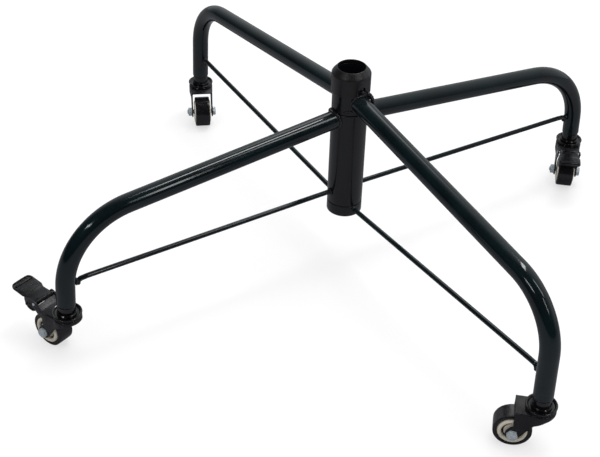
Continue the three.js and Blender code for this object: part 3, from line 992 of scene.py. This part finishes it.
def axle(key, hub):
    """Bush, bolt with its head toward local +Y, and nut toward local -Y."""
    body = "caster_" + key
    bush_end = -HALF_WHEEL - 1.8
    corners = mirrored([(3.3, bush_end), (4.1, bush_end)])
    shape = about_y(lathe(fillet(corners, 0.15, 3), 40))
    ob = build("bush_smooth_" + key, shape, ZINC, hub, sharp=50)
    put(ob, body, "zinc", "bush_" + key)

    spin = Matrix.Rotation(math.radians(9 if key in ("px", "ny") else 21), 4, "Z")

    def spun(shape):
        verts, faces = shape
        return about_y(([spin @ Vector(p) for p in verts], faces))

    f = HALF_FORK
    head = hexagon(f + 0.2, f + 4.0, chamfer_bottom=False, chamfer_top=True, crown=0.25)
    bolt = build("axle_bolt_" + key, spun(head), ZINC)
    shank_r = AXLE_R - 0.02
    shank = lathe([(0, -f - 0.25), (shank_r, -f - 0.25), (shank_r, f + 0.6), (0, f + 0.6)], 40)
    tail = threaded(AXLE_R, -f - 6.6, -f - 0.2, pitch=0.8, depth=0.28, seg=40)
    carve(bolt, [tool(about_y(shank)), tool(about_y(tail))], "UNION")
    move_mesh(bolt, hub)
    tidy(bolt, ZINC, 24)
    put(bolt, body, "zinc", "bolt_" + key)

    nut = hexagon(
        -f - 5.2, -f - 0.2, chamfer_bottom=True, chamfer_top=False, hole=AXLE_HOLE_R
    )
    ob = build("axle_nut_" + key, spun(nut), ZINC, hub, sharp=24)
    put(ob, body, "zinc", "nut_" + key)


# ---- caster: fork ----------------------------------------------------------------------------
def crown_outline(inset, tail):
    """Plan of the fork: round nose toward -X, parallel sides out to x = tail."""
    steps = 48
    w = HALF_FORK - inset
    r = NOSE_R - inset
    start = math.asin(min(1.0, w / r))
    out = []
    for i in range(steps + 1):
        angle = start + (2 * math.pi - 2 * start) * i / steps
        out.append((r * math.cos(angle), r * math.sin(angle)))
    return out + [(tail, -w), (tail, w)]


def crown_loft(stations, tail):
    """Solid through crown outlines at stations of (inset, z)."""
    return loft([[(x, y, z) for x, y in crown_outline(inset, tail)] for inset, z in stations])


def side_outline():
    """Fork seen along Y, as (x, z)."""
    steps = 28
    cheek_x, cheek_z = 5, NOSE_Z - 9.6
    lower = [(-30, NOSE_Z + 0.6), (-NOSE_R + 1, NOSE_Z), (-6, NOSE_Z - 3), (cheek_x, cheek_z)]
    points = [(-30, CROWN_Z + 4)] + fillet(lower, 9.0, 7, closed=False)
    # round the axle, from the tangent of the lower edge
    dx, dz = TRAIL - cheek_x, -DROP - cheek_z
    start = math.atan2(dz, dx) - math.asin(END_R / math.hypot(dx, dz)) - math.pi / 2
    stop = math.radians(30)
    for i in range(steps + 1):
        angle = start + (stop - start) * i / steps
        points.append((TRAIL + END_R * math.cos(angle), -DROP + END_R * math.sin(angle)))
    rear = [
        points[-1], (TRAIL + 2.5, -DROP + END_R + 1.5), (CROWN_X, -37), (CROWN_X, CROWN_Z + 4),
    ]
    return points + fillet(rear, 3.0, closed=False)[1:]


def side_span(side, near, far):
    """Y range between two distances from the middle, on the +1 or -1 side."""
    return (near, far) if side > 0 else (-far, -near)


def add_pedal_mount(ob):
    """A tongue from the crown and an ear on each side, drilled for the pedal's pin."""
    # x, z, rounding
    ear = fillet([
        (CROWN_X - 7, -27, 0), (CROWN_X + 4, -27, 4),
        (PIN_X + 4.2, PIN_Z - 2, 3.5), (PIN_X + 3.6, PIN_Z + 2.2, 3),
        (PIN_X + 1, PIN_Z + 3.5, 2.5), (PIN_X - 2.4, PIN_Z + 2.8, 2.5),
        (CROWN_X, CROWN_Z - 0.2, 3), (CROWN_X - 7, CROWN_Z - 0.3, 0),
    ])
    tongue = fillet([
        (CROWN_X - 2, CROWN_Z, 0), (CROWN_X, CROWN_Z, 4),
        (PIN_X - 3.5, PIN_Z - 1, 0.3), (PIN_X - 3.7, PIN_Z - 2.8, 0.3),
        (CROWN_X, CROWN_Z - SHEET, 4), (CROWN_X - 2, CROWN_Z - SHEET, 0),
    ], steps=4)
    tongue_y = HALF_FORK - SHEET + 0.3
    carve(ob, [tool(prism(tongue, -tongue_y, tongue_y, "y"))], "UNION")
    for side in (-1, 1):
        low, high = side_span(side, HALF_FORK - SHEET, HALF_FORK)
        carve(ob, [tool(prism(ear, low, high, "y"))], "UNION")
    carve(ob, [tool(cylinder_y(PIN_HOLE_R, -30, 30, PIN_X, PIN_Z, 28))], "DIFFERENCE")


def fork(key, place):
    """Pressed sheet fork: a rounded crown trimmed to the side outline and hollowed."""
    outer = [(0.0, -62.0)]
    for inset, dz in ((0.0, -1.7), (0.15, -1.0), (0.5, -0.5), (1.0, -0.16), (1.7, 0.0)):
        outer.append((inset, CROWN_Z + dz))
    inner = [(SHEET, -70.0)]
    for inset, dz in ((0.0, -0.9), (0.3, -0.35), (0.9, 0.0)):
        inner.append((SHEET + inset, CROWN_Z - SHEET + dz))
    ob = build("fork_pressed_" + key, crown_loft(outer, 60), FORK_BLACK)
    carve(ob, [tool(prism(side_outline(), -32, 32, "y"))], "INTERSECT")
    rivet_hole = lathe([(0, -30), (4.4, -30), (4.4, 5), (0, 5)], 32)
    carve(ob, [tool(crown_loft(inner, 80)), tool(rivet_hole)], "DIFFERENCE")
    if PAIR[key].brake:
        add_pedal_mount(ob)
    carve(ob, [tool(cylinder_y(AXLE_HOLE_R, -30, 30, TRAIL, -DROP, 36))], "DIFFERENCE")
    soften(ob, 0.32, 40)
    move_mesh(ob, place)
    tidy(ob, FORK_BLACK, 40)
    put(ob, "caster_" + key, "caster_black", "fork_" + key)


# ---- caster: brake pedal, laid out from its hinge pin ----------------------------------------
# plan of the plate: x from the pin, y, rounding
PEDAL_PLAN = (
    (-1, -11.6, 0), (12, -11.6, 5), (18, -14.5, 5), (38.6, -14.5, 7.5), (39.1, 0, 40),
    (38.6, 14.5, 7.5), (18, 14.5, 5), (12, 11.6, 5), (-1, 11.6, 0),
)
# section of the plate: x and z from the pin, rounding
PEDAL_SECTION = (
    (-1.5, 3.2, 0), (13, 3.5, 14), (20, 4.1, 14), (40, 7.0, 0),
    (40, 5.0, 0), (20, 2.1, 14), (13, 1.5, 14), (-1.5, 1.2, 0),
)
# side cheek: x and z from the pin, rounding
PEDAL_CHEEK = (
    (-1.5, 2.4, 0), (12, 2.6, 0), (18.5, 3.2, 0), (20, -4, 5), (18.5, -12, 4),
    (14, -15.5, 3), (8, -16.5, 4), (3, -13.5, 4), (-2, -3, 3),
)


def from_pin(rows):
    return fillet([(PIN_X + x, PIN_Z + z, rounding) for x, z, rounding in rows])


def plate_top(x):
    """Height of the plate's upper face."""
    if x < PIN_X + 13:
        return PIN_Z + 3.2 + 0.3 * (x - PIN_X + 1.5) / 14.5
    if x < PIN_X + 20:
        return PIN_Z + 3.5 + (x - PIN_X - 13) * 0.6 / 7
    return PIN_Z + 4.1 + (x - PIN_X - 20) * (2.9 / 20.0)


def strip(start, stop, half_width, low, high, rounding):
    """Tool across the plate, between x from the pin and heights from the upper face."""
    x0, x1 = PIN_X + start, PIN_X + stop
    corners = [(x0, -half_width), (x1, -half_width), (x1, half_width), (x0, half_width)]
    mid = (x0 + x1) / 2
    slope = (plate_top(mid + 1) - plate_top(mid - 1)) / 2
    top = plate_top(mid)
    verts, faces = prism(fillet(corners, rounding, 4), top + low, top + high, "z")
    return tool(([(x, y, z + (x - mid) * slope) for x, y, z in verts], faces))


def pedal_plate():
    plan = fillet([(PIN_X + x, y, rounding) for x, y, rounding in PEDAL_PLAN], steps=8)
    plate = build("pedal_plate", prism(plan, -40, 30, "z"), PEDAL_BLACK)
    carve(plate, [tool(prism(from_pin(PEDAL_SECTION), -30, 30, "y"))], "INTERSECT")
    # a sunk band behind the tip with a raised bar in it, and low ribs across the plate
    carve(plate, [strip(30.2, 37.4, 12.5, -1.35, 4, 2.6)], "DIFFERENCE")
    carve(plate, [strip(31.9, 34.2, 11.5, -1.7, 0.2, 0.8)], "UNION")
    ribs = [strip(x, x + 0.9, 11.0, -0.6, 0.22, 0.4) for x in (17.0, 20.2, 23.4, 26.6)]
    carve(plate, ribs, "UNION")
    return plate


def cheek_tools(side):
    """A cheek and, on its outer face, two rows of rounded studs near the lower edge."""
    tools = [tool(prism(from_pin(PEDAL_CHEEK), *side_span(side, 9.6, 11.6), "y"))]
    for i, drop in enumerate((1.5, 2.6, 2.6, 1.4, -0.8)):
        low, high = side_span(side, 11.2, 12.5)
        x, z = PIN_X + 4.6 + i * 3.1, PIN_Z - 11.3 - drop
        tools.append(tool(cylinder_y(1.25, low, high, x, z, 18, 0.4)))
    for i in range(4):
        low, high = side_span(side, 11.2, 12.2)
        x, z = PIN_X + 5.2 + i * 3.4, PIN_Z - 7.6
        tools.append(tool(cylinder_y(0.95, low, high, x, z, 16, 0.3)))
    return tools


def pedal(key, place):
    barrel = cylinder_y(3.2, -11.9, 11.9, PIN_X, PIN_Z, 40, 0.5)
    ob = build("brake_pedal_" + key, barrel, PEDAL_BLACK)
    carve(ob, [pedal_plate()], "UNION")
    for side in (-1, 1):
        carve(ob, cheek_tools(side), "UNION")
    # ridge bar over the hinge
    carve(ob, [strip(-0.9, 1.7, 8.4, -1.0, 0.75, 1.0)], "UNION")
    carve(ob, [tool(cylinder_y(PIN_HOLE_R, -30, 30, PIN_X, PIN_Z, 28))], "DIFFERENCE")
    soften(ob, 0.30, 38)
    move_mesh(ob, place)
    tidy(ob, PEDAL_BLACK, 40)
    put(ob, "pedal_" + key, "caster_black", "pedal_" + key)


def pedal_pin(key, place):
    """Hinge pin with rounded ends."""
    end = HALF_FORK + 1.1
    corners = [(0, -end), (1.6, -end), (1.6, end), (0, end)]
    shape = about_y(lathe(fillet(corners, 0.5, 4, closed=False), 28), PIN_X, PIN_Z)
    ob = build("pedal_pin_round_" + key, shape, ZINC, place, sharp=40)
    put(ob, "caster_" + key, "zinc", "pedal_pin_" + key)


def caster(key):
    swivel = Vector(JOINTS["swivel_" + key]["pos_m"]) / MM
    roll_axis = JOINTS["roll_" + key]["axis"]
    yaw = math.atan2(-roll_axis[0], roll_axis[1])
    place = Matrix.Translation((swivel.x, swivel.y, STEM)) @ Matrix.Rotation(yaw, 4, "Z")
    hub = place @ Matrix.Translation((TRAIL, 0, -DROP))
    race_cup(key, place)
    neck(key, place)
    wheel(key, hub)
    axle(key, hub)
    fork(key, place)
    if PAIR[key].brake:
        pedal(key, place)
        pedal_pin(key, place)


for key in PAIR:
    caster(key)


# ---- stage (lengths in metres) ---------------------------------------------------------------
def floor():
    """A floor that the camera sees pale and glowing, and that other rays see dim."""
    material = bpy.data.materials.new("floor_pale")
    sh = Shader(material)
    pale = sh.add("ShaderNodeBsdfDiffuse", {0: (0.88, 0.88, 0.88, 1)})
    glow = sh.add("ShaderNodeEmission", {0: (1, 1, 1, 1), 1: 1.0})
    glow_share = 0.62
    seen = sh.add("ShaderNodeMixShader", {0: glow_share, 1: pale.outputs[0], 2: glow.outputs[0]})
    dim = sh.add("ShaderNodeBsdfDiffuse", {0: (0.23, 0.232, 0.25, 1)})
    by_camera = sh.add("ShaderNodeLightPath").outputs["Is Camera Ray"]
    inputs = {0: by_camera, 1: dim.outputs[0], 2: seen.outputs[0]}
    select = sh.add("ShaderNodeMixShader", inputs)
    sh.add("ShaderNodeOutputMaterial", {0: select.outputs[0]})

    half, z = 6, -SEAT * MM
    corners = [(-half, -half, z), (half, -half, z), (half, half, z), (-half, half, z)]
    mesh = bpy.data.meshes.new("floor")
    mesh.from_pydata(corners, [], [(0, 1, 2, 3)])
    ob = bpy.data.objects.new("floor", mesh)
    bpy.context.scene.collection.objects.link(ob)
    mesh.materials.append(material)


def studio():
    """Even pale light; in reflections, pale toward one heading and dark opposite it."""
    world = bpy.data.worlds.new("studio")
    bpy.context.scene.world = world
    sh = Shader(world)
    direction = sh.add("ShaderNodeTexCoord").outputs["Generated"]
    pale_heading = (-0.50, 0.866, 0.0)
    toward = sh.add(
        "ShaderNodeVectorMath", {0: direction, 1: pale_heading}, operation="DOT_PRODUCT"
    )
    # cosine to the pale heading, to brightness
    brightness = sh.add(
        "ShaderNodeMapRange",
        {0: toward.outputs["Value"], 1: -0.15, 2: 0.75, 3: 0.02, 4: 0.62},
        interpolation_type="SMOOTHSTEP",
    )
    reflected = sh.add(
        "ShaderNodeBackground", {0: (0.94, 0.98, 1.0, 1), 1: brightness.outputs[0]}
    )
    ambient = sh.add("ShaderNodeBackground", {0: (1, 1, 1, 1), 1: 0.72})
    is_glossy = sh.add("ShaderNodeLightPath").outputs["Is Glossy Ray"]
    inputs = {0: is_glossy, 1: ambient.outputs[0], 2: reflected.outputs[0]}
    mix = sh.add("ShaderNodeMixShader", inputs)
    sh.add("ShaderNodeOutputWorld", {0: mix.outputs[0]})


def softbox(name, location, size, power, aim=(0, 0, 0.05), glossy=True):
    """Rectangular area light; size is its width and height, power is in watts."""
    light = bpy.data.lights.new(name, "AREA")
    light.shape = "RECTANGLE"
    light.size, light.size_y = size
    light.energy = power
    ob = bpy.data.objects.new(name, light)
    bpy.context.scene.collection.objects.link(ob)
    ob.location = location
    ob.rotation_euler = (Vector(aim) - Vector(location)).to_track_quat("-Z", "Y").to_euler()
    ob.visible_glossy = glossy


def camera():
    azimuth, elevation, roll = (math.radians(angle) for angle in (-32.41, 36.7, 1.83))
    target = Vector((8.75, -71.3, -9.1)) * MM
    distance = 1534.4 * MM
    backward = Vector((
        math.cos(elevation) * math.cos(azimuth),
        math.cos(elevation) * math.sin(azimuth),
        math.sin(elevation),
    ))
    forward = -backward
    level_right = forward.cross(Vector((0, 0, 1))).normalized()
    level_up = level_right.cross(forward)
    right = level_right * math.cos(roll) + level_up * math.sin(roll)
    up = level_up * math.cos(roll) - level_right * math.sin(roll)
    data = bpy.data.cameras.new("camera")
    data.sensor_width = 36
    data.lens = 75.648
    data.shift_x = 0.0025
    data.clip_start = 0.01
    data.clip_end = 50
    ob = bpy.data.objects.new("camera", data)
    bpy.context.scene.collection.objects.link(ob)
    rotation = Matrix((right, up, backward)).transposed()
    ob.matrix_world = Matrix.Translation(target + backward * distance) @ rotation.to_4x4()
    bpy.context.scene.camera = ob


floor()
studio()
softbox(
    "soft_top", location=(-0.3, 0.3, 2.6), size=(2.6, 2.0), power=26, aim=(0, 0, 0), glossy=False
)
# two long strips give thin lines along the legs, a larger box a paler band
softbox("strip_top", location=(-0.23, 0.75, 2.35), size=(0.34, 1.3), power=15)
softbox("strip_right", location=(1.12, 0.75, 2.05), size=(0.22, 1.1), power=4.4)
softbox("box_back", location=(-1.45, 0.95, 1.95), size=(0.9, 0.9), power=4.0)
softbox("strip_front", location=(0.55, -1.9, 1.75), size=(0.9, 0.16), power=5.5)
softbox("strip_side", location=(2.0, 0.35, 1.6), size=(0.16, 0.8), power=3.2)
camera()
view = bpy.context.scene.view_settings
view.view_transform = "Standard"
view.look = "None"

bpy.context.view_layer.update()
